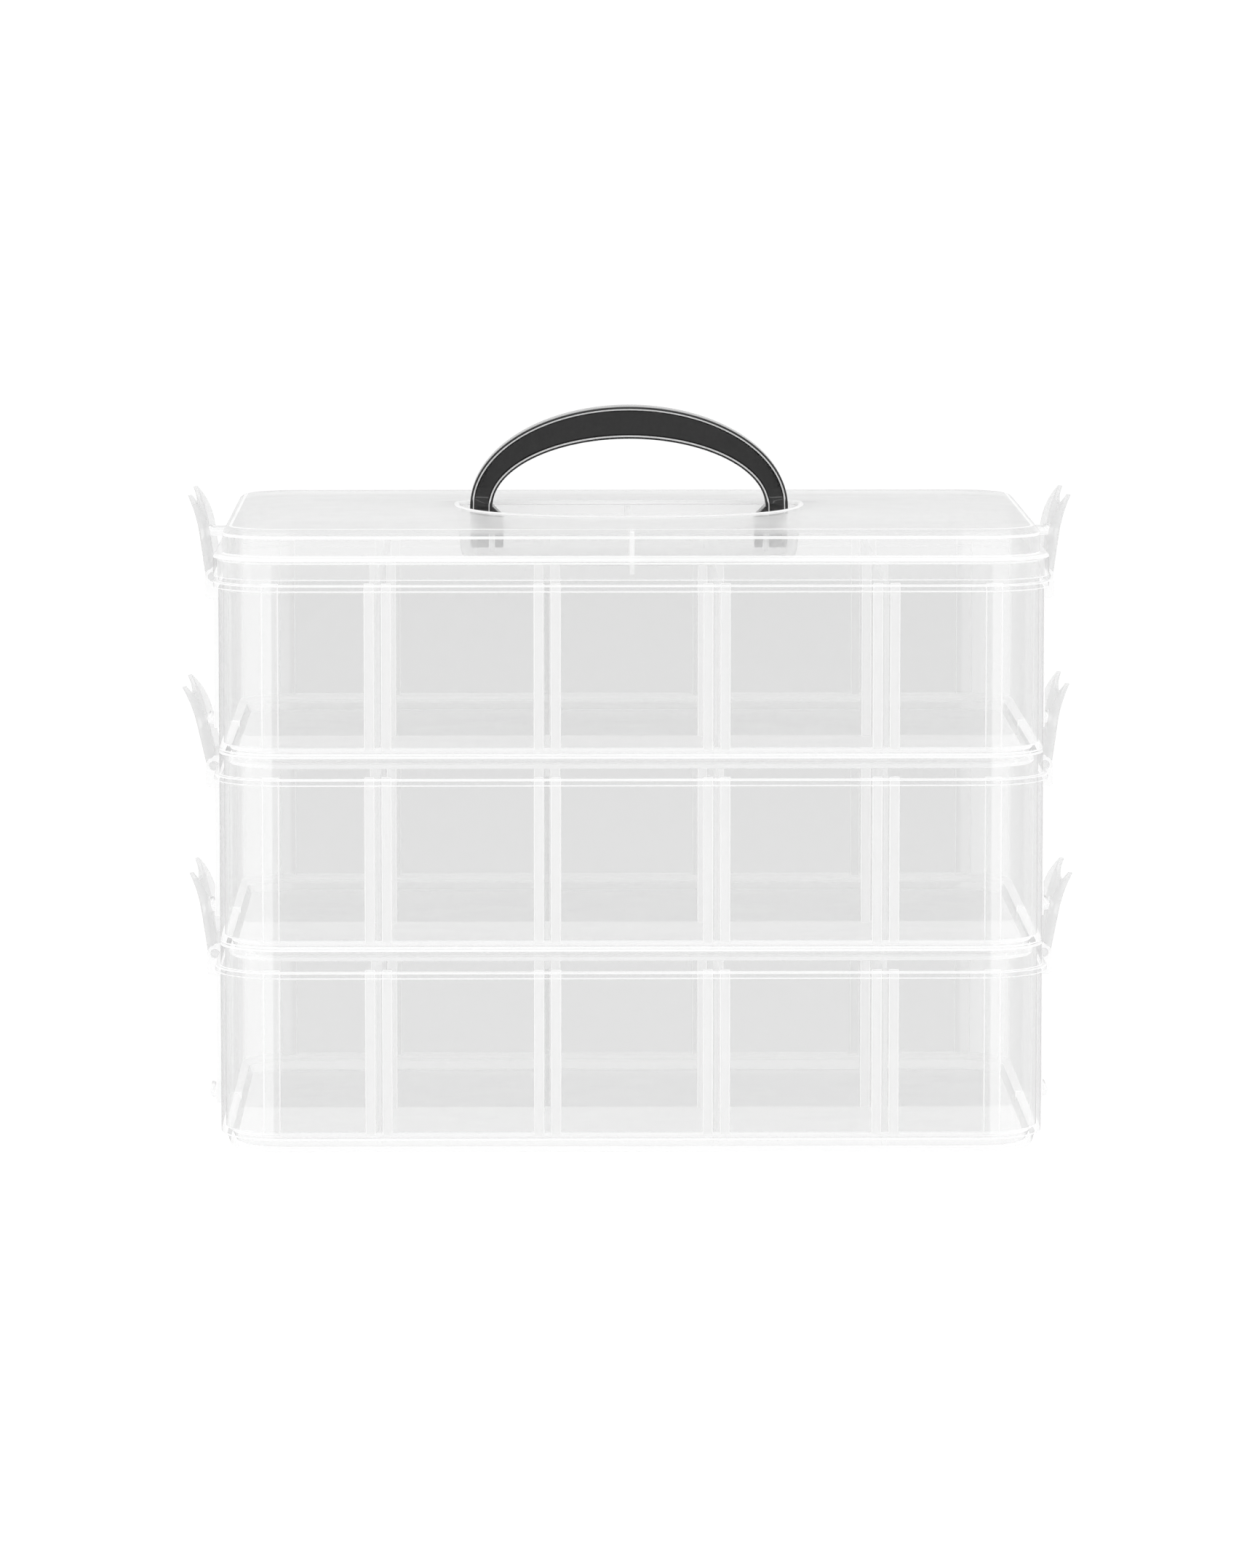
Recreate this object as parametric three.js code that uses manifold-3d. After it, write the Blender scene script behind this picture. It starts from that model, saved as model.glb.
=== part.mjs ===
// Parts organizer: three clear trays that stack into each other, each with a fixed wall along its middle
// and eight loose dividers in ribbed slots, under a clear lid with a fold-down carry handle.
// Six side latches hold the stack together, three at each end.
// Millimetres, +X along the long side, +Y to the back, +Z up. The origin is the middle of the base.
import * as THREE from "three";
import { mergeVertices } from "three/addons/utils/BufferGeometryUtils.js";
import Module from "manifold-3d";

// ---- driving dimensions ----

const GAP = 0.3; // left between pieces that touch

// Tray, with its heights counted from its own foot.
const TIERS = ["bottom", "middle", "top"];
const TRAY = { x: 121, y: 81, r: 19 }; // half sizes and corner radius of the outer wall
const WALL = 1.4;
const TRAY_HEIGHT = 61;
const PITCH = 56.7; // each tray stands this far above the one below
const STEP_Z = TRAY_HEIGHT - PITCH + GAP; // underside of the step that rests on the rim below
const FLOOR_BOTTOM = 0.6;
const FLOOR_TOP = 2;
const FOOT_INSET = 7.5;
const FOOT_WIDTH = 3;
const BASE_INSET_LOW = 3.3;
const BASE_INSET_EDGE = 2.7;
const BASE_EDGE_Z = 1.4;
const BASE_INSET_HIGH = WALL + GAP;
const SHOULDER_Z = 6.4; // inside, where the wall widens above the nesting base
const BEAD = { out: 1.5, bottom: 52.6, top: 54.4 };
const CORNER_STEPS = 5;

// Compartments.
const PARTITION_TOP = 55; // top of the middle wall, the slot ribs and the dividers
const MID_WALL_HALF = 0.7;
const COLUMN_PITCH = 49.4;
const SLOTS = [-1.5, -0.5, 0.5, 1.5].map((step) => step * COLUMN_PITCH);
const DIVIDER_THICKNESS = 1.4;
const RIB_WIDTH = 3;
const RIB_PROUD = 1.4;
const GROOVE_HALF = DIVIDER_THICKNESS / 2 + GAP;
const DIVIDER_CHAMFER = 1.5;
const CORNER_STRIP = { from: 102.9, to: 108, proud: 1 };

// Latch hinges and catches on the ends.
const HINGE_X = 124.3;
const HINGE_Z = 52;
const LATCH_HALF_WIDTH = 19.3;
const LUG = { from: 19.9, to: 21.9, radius: 2.4, hole: 1.45, x: 124.9, bottom: 45.2, top: 55 };
const END_RIB = { x: 124.2, bottom: 6.6 };
const BEAD_NOTCH = { x: 121.3, bottom: 49, top: 56 };
const CATCH = { x: 126.8, halfWidth: 10, bottom: 11.5, top: 13.4, ledge: 12.9 }; // heights from the hinge

// Latch, about its own hinge line: u points out from the tray and h points up.
const BARREL_RADIUS = 1.7;
const PIN_RADIUS = 1.15;
const PIN_REACH = 21.6;
const PLATE = { inner: 0.9, outer: 2.2, flare: 13, tip: 24.8, innerTip: 2.8 };
const SIDE_FLANGE = { inner: -0.9, width: 1.4, bottom: 1 };
const WINDOW = { halfWidth: 10.8, bottom: 10.4, top: 13.8 };
const DIP = { halfWidth: 17.2, centre: 25.5, depth: 4.9 };
// How far each latch leans out from its closed, upright place.
const LEAN = {
  left: { bottom: 8.5, middle: 13, top: 8 },
  right: { bottom: 11, middle: 8, top: 8 },
};

// Lid.
const LID_THICKNESS = 1.3;
const SKIRT = { out: 1.5, thickness: 1.2, bottom: 169.3 };
const RIM_TOP = 2 * PITCH + TRAY_HEIGHT;
const LEDGE = { bottom: RIM_TOP + GAP, top: RIM_TOP + 1.5, chamfer: 0.7 };
const LID_WALL_INSET = 1.3;
const LID_TOP = 184;
const ROUND_OVER = 2.8;
const ROUND_STEPS = 3;
const LID_WEB = {
  half: 0.7,
  top: LID_TOP - LID_THICKNESS / 2,
  frontFrom: -79,
  frontTo: -41,
  frontBottom: 170.8,
  backFrom: 9,
  backTo: 79,
  backBottom: 176,
};
const RECESS = { x: 50.5, front: 41.5, back: 9, floor: 171.4, draft: 1.5, power: 2.4, steps: 16, corner: 6 };

// Handle, which turns about a line along X in the lid's recess.
const PIVOT_Z = 178;
const ARCH = { z: 185, outerX: 47.7, outerZ: 30, innerX: 41, innerZ: 20.4, halfDepth: 5.9, steps: 20 };
const WEB = { rim: 1, depth: 2.2, from: 187 };
const FOOT = { inner: 37.7, outer: 47.6, radius: 5.8, slope: 3.2 };
const HANDLE_SLOT = { from: 40.3, to: 42.1, radius: 4.5 };
const HANDLE_PIN_RADIUS = 1.4;
const HANDLE_LUG = { from: 40.6, to: 41.8, radius: 4, hole: 1.75 };

// ---- solids ----

const wasm = await Module();
wasm.setup();

const AXES = {
  x: new THREE.Vector3(1, 0, 0),
  y: new THREE.Vector3(0, 1, 0),
  z: new THREE.Vector3(0, 0, 1),
};

// A closed three.js geometry as a solid for joining and cutting.
function solid(geometry) {
  const bare = geometry.clone();
  bare.deleteAttribute("normal");
  bare.deleteAttribute("uv");
  const merged = mergeVertices(bare);
  return new wasm.Manifold(
    new wasm.Mesh({
      numProp: 3,
      vertProperties: new Float32Array(merged.attributes.position.array),
      triVerts: new Uint32Array(merged.index.array),
    }),
  );
}

function geometryOf(body) {
  const mesh = body.getMesh();
  const geometry = new THREE.BufferGeometry();
  geometry.setAttribute("position", new THREE.BufferAttribute(mesh.vertProperties, 3));
  geometry.setIndex(new THREE.BufferAttribute(mesh.triVerts, 1));
  geometry.computeVertexNormals();
  return geometry;
}

function union(solids) {
  return solids.reduce((all, next) => all.add(next));
}

// A box between two values on each axis, given in either order.
function block(x, y, z) {
  const size = [x, y, z].map(([a, b]) => Math.abs(b - a));
  const centre = [x, y, z].map(([a, b]) => (a + b) / 2);
  return solid(new THREE.BoxGeometry(...size).translate(...centre));
}

// An outline carried along an axis. Its own x and y become Y and Z for axis x, X and Z for axis y,
// and X and Y for axis z.
function extruded(outline, axis, from, to) {
  const geometry = new THREE.ExtrudeGeometry(outline, {
    depth: to - from,
    bevelEnabled: false,
    curveSegments: ARCH.steps,
  });
  if (axis === "x") {
    geometry.applyMatrix4(new THREE.Matrix4().makeBasis(AXES.y, AXES.z, AXES.x));
    geometry.translate(from, 0, 0);
  } else if (axis === "y") {
    geometry.rotateX(Math.PI / 2);
    geometry.translate(0, to, 0);
  } else {
    geometry.translate(0, 0, from);
  }
  return solid(geometry);
}

function outlineOf(points) {
  return new THREE.Shape(points.map(([a, b]) => new THREE.Vector2(a, b)));
}

// A round bar along X or Y, centred on the other two coordinates.
function bar(axis, radius, from, to, centre, sides = 16) {
  const geometry = new THREE.CylinderGeometry(radius, radius, to - from, sides);
  if (axis === "x") {
    geometry.rotateZ(-Math.PI / 2);
    geometry.translate((from + to) / 2, centre[0], centre[1]);
  } else {
    geometry.translate(centre[0], (from + to) / 2, centre[1]);
  }
  return solid(geometry);
}

// Outlines of equal point count at rising or falling heights, joined into one skin, with a flat cap
// facing down on the first and one facing up on the last.
function loft(levels) {
  const count = levels[0].points.length;
  const positions = levels.flatMap(({ points, z }) => points.flatMap(([x, y]) => [x, y, z]));
  const index = [];
  for (let level = 0; level + 1 < levels.length; level++) {
    for (let i = 0; i < count; i++) {
      const next = (i + 1) % count;
      const [a, b] = [level * count + i, level * count + next];
      index.push(a, b, b + count, a, b + count, a + count);
    }
  }
  const last = (levels.length - 1) * count;
  for (let i = 1; i + 1 < count; i++) {
    index.push(0, i + 1, i);
    index.push(last, last + i, last + i + 1);
  }
  const geometry = new THREE.BufferGeometry();
  geometry.setAttribute("position", new THREE.Float32BufferAttribute(positions, 3));
  geometry.setIndex(index);
  return solid(geometry);
}

// A rounded rectangle, drawn in by inset from the tray's outer wall, at height z.
function ring(inset, z) {
  const radius = TRAY.r - inset;
  const points = [];
  [[1, 1], [-1, 1], [-1, -1], [1, -1]].forEach(([sideX, sideY], quarter) => {
    const centre = [sideX * (TRAY.x - TRAY.r), sideY * (TRAY.y - TRAY.r)];
    for (let step = 0; step <= CORNER_STEPS; step++) {
      const angle = ((quarter + step / CORNER_STEPS) * Math.PI) / 2;
      points.push([centre[0] + radius * Math.cos(angle), centre[1] + radius * Math.sin(angle)]);
    }
  });
  return { points, z };
}

// ---- tray ----

function trayShell() {
  return loft([
    ring(FOOT_INSET + FOOT_WIDTH, FLOOR_BOTTOM),
    ring(FOOT_INSET + FOOT_WIDTH, 0),
    ring(FOOT_INSET, 0),
    ring(FOOT_INSET, FLOOR_BOTTOM),
    ring(BASE_INSET_LOW, FLOOR_BOTTOM),
    ring(BASE_INSET_EDGE, BASE_EDGE_Z),
    ring(BASE_INSET_HIGH, STEP_Z),
    ring(0.4, STEP_Z),
    ring(0, STEP_Z + 0.4),
    ring(0, BEAD.bottom),
    ring(-BEAD.out, BEAD.bottom),
    ring(-BEAD.out, BEAD.top),
    ring(0, BEAD.top),
    ring(0, TRAY_HEIGHT),
    ring(WALL, TRAY_HEIGHT),
    ring(WALL, SHOULDER_Z),
    ring(BASE_INSET_HIGH + WALL, SHOULDER_Z - 0.5),
    ring(BASE_INSET_LOW + WALL, FLOOR_TOP),
  ]);
}

// The fixed wall along the middle, from end wall to end wall.
function middleWall() {
  const wide = TRAY.x - WALL / 2;
  const narrow = TRAY.x - BASE_INSET_LOW;
  const shoulder = SHOULDER_Z;
  const foot = FLOOR_TOP - 0.3;
  const outline = outlineOf([
    [-narrow, foot],
    [narrow, foot],
    [narrow, shoulder],
    [wide, shoulder],
    [wide, PARTITION_TOP],
    [-wide, PARTITION_TOP],
    [-wide, shoulder],
    [-narrow, shoulder],
  ]);
  return extruded(outline, "y", -MID_WALL_HALF, MID_WALL_HALF);
}

// Pairs of ribs on the front, back and middle walls, each pair forming a groove for a divider's edge.
function slotRibs() {
  const innerWall = TRAY.y - WALL;
  const embed = WALL / 2;
  const ribs = [];
  for (const slot of SLOTS) {
    for (const side of [-1, 1]) {
      const x = [slot + side * GROOVE_HALF, slot + side * (GROOVE_HALF + RIB_WIDTH)];
      for (const row of [-1, 1]) {
        const wallY = [row * (innerWall - RIB_PROUD), row * (innerWall + embed)];
        const middleY = [row * (MID_WALL_HALF / 2), row * (MID_WALL_HALF + RIB_PROUD)];
        ribs.push(block(x, wallY, [SHOULDER_Z - 0.4, PARTITION_TOP]));
        ribs.push(block(x, middleY, [FLOOR_TOP - 0.3, PARTITION_TOP]));
      }
    }
  }
  return ribs;
}

// Shallow strips inside the front and back walls, near the corners.
function cornerStrips() {
  const innerWall = TRAY.y - WALL;
  const strips = [];
  for (const end of [-1, 1]) {
    for (const row of [-1, 1]) {
      const x = [end * CORNER_STRIP.from, end * CORNER_STRIP.to];
      const y = [row * (innerWall - CORNER_STRIP.proud), row * (innerWall + WALL / 2)];
      strips.push(block(x, y, [SHOULDER_Z - 0.4, PARTITION_TOP]));
    }
  }
  return strips;
}

// Upright ribs beside a latch, whose heads are the lugs that hold its pins.
function endRibs(end) {
  const root = TRAY.x - WALL / 2;
  const ribs = [];
  for (const side of [-1, 1]) {
    const y = [LUG.from, LUG.to].map((edge) => side * edge).sort((a, b) => a - b);
    ribs.push(block([end * root, end * END_RIB.x], y, [END_RIB.bottom, LUG.top]));
    ribs.push(block([end * root, end * LUG.x], y, [LUG.bottom, LUG.top]));
    ribs.push(bar("y", LUG.radius, ...y, [end * HINGE_X, HINGE_Z]));
  }
  return ribs;
}

function catchLedge(end, root, hingeZ) {
  const outline = outlineOf([
    [root, hingeZ + CATCH.bottom - 0.5],
    [CATCH.x - 0.5, hingeZ + CATCH.bottom],
    [CATCH.x, hingeZ + CATCH.top],
    [CATCH.x - 0.8, hingeZ + CATCH.top],
    [CATCH.x - 1.7, hingeZ + CATCH.ledge],
    [root, hingeZ + CATCH.ledge],
  ]);
  const ledge = extruded(outline, "y", -CATCH.halfWidth, CATCH.halfWidth);
  return end > 0 ? ledge : ledge.rotate([0, 0, 180]);
}

function trayGeometry() {
  const ends = [-1, 1];
  const ledges = ends.map((end) => catchLedge(end, TRAY.x - WALL / 2, HINGE_Z - PITCH));
  let tray = trayShell();
  for (const end of ends) {
    const notchX = [end * BEAD_NOTCH.x, end * (BEAD_NOTCH.x + 3)];
    tray = tray.subtract(block(notchX, [-LUG.from, LUG.from], [BEAD_NOTCH.bottom, BEAD_NOTCH.top]));
  }
  tray = union([tray, middleWall(), ...slotRibs(), ...cornerStrips(), ...ends.flatMap(endRibs), ...ledges]);
  for (const end of ends) {
    tray = tray.subtract(bar("y", LUG.hole, -LUG.to - 1, LUG.to + 1, [end * HINGE_X, HINGE_Z]));
  }
  return geometryOf(tray);
}

// ---- divider ----

// Reaches back from the middle wall, with its bottom corner cut to the tray's nesting base.
function dividerGeometry() {
  const near = MID_WALL_HALF + GAP;
  const far = TRAY.y - WALL - GAP;
  const bottom = FLOOR_TOP + GAP;
  const outline = outlineOf([
    [near, bottom],
    [TRAY.y - BASE_INSET_LOW - WALL - GAP, bottom],
    [TRAY.y - BASE_INSET_HIGH - WALL - GAP, SHOULDER_Z + 0.3],
    [far, SHOULDER_Z + 0.6],
    [far, PARTITION_TOP - DIVIDER_CHAMFER],
    [far - DIVIDER_CHAMFER, PARTITION_TOP],
    [near + DIVIDER_CHAMFER, PARTITION_TOP],
    [near, PARTITION_TOP - DIVIDER_CHAMFER],
  ]);
  return geometryOf(extruded(outline, "x", -DIVIDER_THICKNESS / 2, DIVIDER_THICKNESS / 2));
}

// ---- latch ----

// The flare is an arc that leaves the upright at one height and reaches a given u at the tip.
function flareRadius(from, to) {
  const rise = PLATE.tip - PLATE.flare;
  const shift = to - from;
  return (rise * rise + shift * shift) / (2 * shift);
}

function flarePoints(from, to, steps) {
  const radius = flareRadius(from, to);
  const points = [];
  for (let step = 0; step <= steps; step++) {
    const h = PLATE.flare + ((PLATE.tip - PLATE.flare) * step) / steps;
    points.push([from + radius - Math.sqrt(radius ** 2 - (h - PLATE.flare) ** 2), h]);
  }
  return points;
}

function latchPlate() {
  const thickness = PLATE.outer - PLATE.inner;
  const outer = flarePoints(PLATE.outer, PLATE.innerTip + thickness * 0.85, 5);
  const inner = flarePoints(PLATE.inner, PLATE.innerTip, 5).reverse();
  const outline = outlineOf([[PLATE.outer, 0], ...outer, ...inner, [PLATE.inner, 0]]);
  return extruded(outline, "y", -LATCH_HALF_WIDTH, LATCH_HALF_WIDTH);
}

function latchSideFlange(side) {
  const edge = flarePoints(SIDE_FLANGE.inner, PLATE.innerTip, 5);
  const back = flarePoints(PLATE.inner + 0.3, PLATE.innerTip + 0.3, 5).reverse();
  const bottom = SIDE_FLANGE.bottom;
  const outline = outlineOf([[PLATE.inner + 0.3, bottom], [SIDE_FLANGE.inner, bottom], ...edge, ...back]);
  const y = [LATCH_HALF_WIDTH - SIDE_FLANGE.width, LATCH_HALF_WIDTH];
  const flange = extruded(outline, "y", ...y);
  return side > 0 ? flange : flange.translate([0, -y[0] - y[1], 0]);
}

function latchGeometry() {
  const window = block([-3, 5], [-WINDOW.halfWidth, WINDOW.halfWidth], [WINDOW.bottom, WINDOW.top]);
  const dip = new THREE.Shape().absellipse(0, DIP.centre, DIP.halfWidth, DIP.depth, 0, 2 * Math.PI);
  const body = union([
    latchPlate(),
    latchSideFlange(-1),
    latchSideFlange(1),
    bar("y", BARREL_RADIUS, -LATCH_HALF_WIDTH, LATCH_HALF_WIDTH, [0, 0]),
    bar("y", PIN_RADIUS, -PIN_REACH, PIN_REACH, [0, 0], 12),
  ]);
  return geometryOf(body.subtract(window).subtract(extruded(dip, "x", -3, 8)));
}

// ---- lid ----

function lidShell() {
  const inset = LID_WALL_INSET;
  const inner = inset + LID_THICKNESS;
  const skirtInner = SKIRT.thickness - SKIRT.out;
  const wallTop = LID_TOP - ROUND_OVER;
  const roundOver = (base, radius, steps) =>
    Array.from({ length: steps }, (_, step) => {
      const angle = ((step + 1) / steps) * (Math.PI / 2);
      return ring(base + radius * (1 - Math.cos(angle)), wallTop + radius * Math.sin(angle));
    });
  return loft([
    ...roundOver(inner, ROUND_OVER - LID_THICKNESS, 2).reverse(),
    ring(inner, wallTop),
    ring(inner, LEDGE.bottom),
    ring(skirtInner, LEDGE.bottom),
    ring(skirtInner, SKIRT.bottom),
    ring(-SKIRT.out, SKIRT.bottom),
    ring(-SKIRT.out, LEDGE.top - LEDGE.chamfer),
    ring(LEDGE.chamfer - SKIRT.out, LEDGE.top),
    ring(inset, LEDGE.top),
    ring(inset, wallTop),
    ...roundOver(inset, ROUND_OVER, ROUND_STEPS),
  ]);
}

// The recess is bulged at the front, to take the folded arch, and straight behind the pivots.
function recessOutline(grow) {
  const [x, front, back] = [RECESS.x + grow, RECESS.front + grow, RECESS.back + grow];
  const points = [];
  for (let step = 0; step <= RECESS.steps; step++) {
    const angle = Math.PI + (Math.PI * step) / RECESS.steps;
    const [c, s] = [Math.cos(angle), Math.sin(angle)];
    const power = 2 / RECESS.power;
    points.push([x * Math.sign(c) * Math.abs(c) ** power, -front * Math.abs(s) ** power]);
  }
  for (const side of [1, -1]) {
    for (let step = 0; step <= 3; step++) {
      const turn = side > 0 ? step / 3 : 1 - step / 3;
      const angle = (turn * Math.PI) / 2;
      const [cx, cy] = [x - RECESS.corner, back - RECESS.corner];
      points.push([side * (cx + RECESS.corner * Math.cos(angle)), cy + RECESS.corner * Math.sin(angle)]);
    }
  }
  return points;
}

function recessTub() {
  return loft([
    { points: recessOutline(LID_THICKNESS - RECESS.draft), z: RECESS.floor - LID_THICKNESS },
    { points: recessOutline(LID_THICKNESS), z: LID_TOP - LID_THICKNESS / 2 },
  ]);
}

function recessHollow() {
  const above = 3;
  const growth = (RECESS.draft * above) / (LID_TOP - RECESS.floor);
  return loft([
    { points: recessOutline(-RECESS.draft), z: RECESS.floor },
    { points: recessOutline(growth), z: LID_TOP + above },
  ]);
}

// An upright ear in the recess that the handle's pin turns in.
function handleLug(side) {
  const [from, to] = [HANDLE_LUG.from, HANDLE_LUG.to].map((x) => side * x).sort((a, b) => a - b);
  const half = HANDLE_LUG.radius;
  const ear = block([from, to], [-half, half], [RECESS.floor - 0.5, PIVOT_Z]);
  const head = bar("x", half, from, to, [0, PIVOT_Z]);
  const hole = bar("x", HANDLE_LUG.hole, from - 1, to + 1, [0, PIVOT_Z]);
  return ear.add(head).subtract(hole);
}

// The lid's catches stand on small gussets above its ledge.
function lidCatch(end) {
  const hingeZ = HINGE_Z + 2 * PITCH;
  const root = TRAY.x - LID_WALL_INSET - LID_THICKNESS / 2;
  const gussets = [-1, 0, 1].map((place) => {
    const y = place * (CATCH.halfWidth - 0.7);
    const x = [end * root, end * (TRAY.x + 0.6)];
    return block(x, [y - 0.7, y + 0.7], [LEDGE.top - 0.4, hingeZ + CATCH.bottom + 0.3]);
  });
  return union([catchLedge(end, root, hingeZ), ...gussets]);
}

// Two thin webs under the lid's top stiffen it in front of and behind the recess.
function lidWebs() {
  const { half, top, frontFrom, frontTo, frontBottom, backFrom, backTo, backBottom } = LID_WEB;
  return union([
    block([-half, half], [frontFrom, frontTo], [frontBottom, top]),
    block([-half, half], [backFrom, backTo], [backBottom, top]),
  ]);
}

function lidGeometry() {
  const parts = [lidShell(), recessTub(), lidWebs(), lidCatch(-1), lidCatch(1)];
  const lid = union(parts).subtract(recessHollow());
  return geometryOf(union([lid, handleLug(-1), handleLug(1)]));
}

// ---- handle ----

function archBand(outerX, outerZ, innerX, innerZ, bottom) {
  const shape = new THREE.Shape();
  shape.moveTo(outerX, bottom);
  shape.absellipse(0, ARCH.z, outerX, outerZ, 0, Math.PI, false);
  shape.lineTo(-outerX, bottom);
  shape.lineTo(-innerX, bottom);
  shape.absellipse(0, ARCH.z, innerX, innerZ, Math.PI, 0, true);
  shape.lineTo(innerX, bottom);
  return shape;
}

function handleArch() {
  const { outerX, outerZ, innerX, innerZ, halfDepth } = ARCH;
  const band = extruded(archBand(outerX, outerZ, innerX, innerZ, PIVOT_Z + 4), "y", -halfDepth, halfDepth);
  const { rim, depth, from } = WEB;
  const web = archBand(outerX - rim, outerZ - rim, innerX + rim, innerZ + rim, ARCH.z - 1);
  const below = block([-60, 60], [-60, 60], [PIVOT_Z, from]);
  const front = extruded(web, "y", -halfDepth - 1, depth - halfDepth).subtract(below);
  const back = extruded(web, "y", halfDepth - depth, halfDepth + 1).subtract(below);
  return band.subtract(front).subtract(back);
}

// A foot with a slot that straddles the lid's ear.
function handleFoot(side) {
  const xs = [FOOT.inner, FOOT.outer].map((x) => side * x).sort((a, b) => a - b);
  const slotX = [HANDLE_SLOT.from, HANDLE_SLOT.to].map((x) => side * x).sort((a, b) => a - b);
  const { radius } = HANDLE_SLOT;
  const front = outlineOf([
    [side * FOOT.inner, PIVOT_Z],
    [side * FOOT.outer, PIVOT_Z],
    [side * FOOT.outer, ARCH.z],
    [side * (FOOT.inner + FOOT.slope), ARCH.z],
    [side * FOOT.inner, ARCH.z - FOOT.slope],
  ]);
  const foot = union([
    extruded(front, "y", -FOOT.radius, FOOT.radius),
    bar("x", FOOT.radius, ...xs, [0, PIVOT_Z], 24),
  ]);
  const slot = union([
    bar("x", radius, ...slotX, [0, PIVOT_Z], 24),
    block(slotX, [-2 * FOOT.radius, radius], [PIVOT_Z - 2 * FOOT.radius, PIVOT_Z]),
    block(slotX, [-2 * FOOT.radius, 0], [PIVOT_Z - radius, PIVOT_Z + radius]),
  ]);
  const pin = bar("x", HANDLE_PIN_RADIUS, slotX[0] - 1, slotX[1] + 1, [0, PIVOT_Z], 12);
  return foot.subtract(slot).add(pin);
}

function handleGeometry() {
  return geometryOf(union([handleArch(), handleFoot(-1), handleFoot(1)]));
}

// ---- assembly ----

const CLEAR_PLASTIC = { color: 0xe6eaec, roughness: 0.25, metalness: 0, transparent: true, opacity: 0.35 };
const HANDLE_PLASTIC = { color: 0x383838, roughness: 0.45, metalness: 0 };

function piece(name, geometry, look) {
  const mesh = new THREE.Mesh(geometry, new THREE.MeshStandardMaterial(look));
  mesh.name = name;
  return mesh;
}

function addTier(organizer, tier, index) {
  const group = new THREE.Group();
  group.position.z = index * PITCH;
  group.add(piece(`tray_${tier}`, trayGeometry(), CLEAR_PLASTIC));
  const divider = dividerGeometry();
  for (const row of ["front", "back"]) {
    SLOTS.forEach((slot, column) => {
      const part = piece(`divider_${tier}_${row}_${column + 1}`, divider, CLEAR_PLASTIC);
      part.position.x = slot;
      part.rotation.z = row === "front" ? Math.PI : 0;
      group.add(part);
    });
  }
  for (const side of ["left", "right"]) {
    const hinge = new THREE.Group();
    hinge.rotation.z = side === "left" ? Math.PI : 0;
    const latch = piece(`latch_${side}_${tier}`, latchGeometry(), CLEAR_PLASTIC);
    latch.position.set(HINGE_X, 0, HINGE_Z);
    latch.rotation.y = THREE.MathUtils.degToRad(LEAN[side][tier]);
    hinge.add(latch);
    group.add(hinge);
  }
  organizer.add(group);
}

const organizer = new THREE.Group();
TIERS.forEach((tier, index) => addTier(organizer, tier, index));
organizer.add(piece("lid", lidGeometry(), CLEAR_PLASTIC));
organizer.add(piece("handle", handleGeometry(), HANDLE_PLASTIC));

export default organizer;
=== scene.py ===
"""Looks of the three-tier parts organizer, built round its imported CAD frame."""
import math

import bmesh
import bpy
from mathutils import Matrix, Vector


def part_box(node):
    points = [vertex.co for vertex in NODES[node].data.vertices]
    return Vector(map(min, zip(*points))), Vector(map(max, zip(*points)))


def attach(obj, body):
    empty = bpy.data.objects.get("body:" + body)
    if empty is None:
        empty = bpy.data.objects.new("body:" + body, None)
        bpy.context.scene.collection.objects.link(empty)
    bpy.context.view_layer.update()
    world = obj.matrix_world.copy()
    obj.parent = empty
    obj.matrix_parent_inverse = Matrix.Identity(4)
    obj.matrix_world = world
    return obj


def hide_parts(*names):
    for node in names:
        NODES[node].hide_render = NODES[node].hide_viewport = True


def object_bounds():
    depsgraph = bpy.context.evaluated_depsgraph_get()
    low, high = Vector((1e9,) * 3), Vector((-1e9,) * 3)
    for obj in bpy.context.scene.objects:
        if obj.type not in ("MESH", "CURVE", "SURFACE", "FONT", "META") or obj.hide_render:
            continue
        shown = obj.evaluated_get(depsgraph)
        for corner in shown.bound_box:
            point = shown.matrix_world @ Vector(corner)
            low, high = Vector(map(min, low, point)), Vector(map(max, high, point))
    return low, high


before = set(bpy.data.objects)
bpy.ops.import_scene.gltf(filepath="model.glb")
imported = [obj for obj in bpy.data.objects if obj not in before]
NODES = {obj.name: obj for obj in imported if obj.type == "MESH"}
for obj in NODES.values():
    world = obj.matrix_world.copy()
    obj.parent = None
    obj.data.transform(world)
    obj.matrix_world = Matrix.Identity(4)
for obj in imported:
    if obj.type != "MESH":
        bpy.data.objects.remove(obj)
CAD_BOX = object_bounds()
SCENE = bpy.context.scene
MM = 0.001
TIERS = ["bottom", "middle", "top"]

# ---- driving dimensions, in millimetres, with a tray's heights counted from its own foot ----

GAP = 0.3  # left between pieces that touch
ROOT = 0.3  # how far a rib or an end reaches into the wall that it stands on

TRAY_X, TRAY_Y, TRAY_R = 121.0, 81.0, 19.0  # half sizes and corner radius of the outer wall
CORNER_FROM_X, CORNER_FROM_Y = 106.0, 66.0  # a tray's corners begin this far out
WALL = 1.4
TRAY_HEIGHT = 61.0
PITCH = (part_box("tray_middle")[0].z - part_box("tray_bottom")[0].z) / MM
STEP_Z = TRAY_HEIGHT - PITCH + GAP  # underside of the step that rests on the rim below
STEP_LIP = 0.4
FLOOR_BOTTOM, FLOOR_TOP = 0.6, 2.0
FLOOR_INSET = 12.0  # where the wall's profile ends and the flat floor begins
FOOT_INNER, FOOT_OUTER = 10.5, 7.5  # the foot rim's two sides, drawn in from the outer wall
BASE_LOW, BASE_EDGE, BASE_HIGH = 3.3, 2.7, WALL + GAP  # how far the nesting base is drawn in, going up
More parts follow.
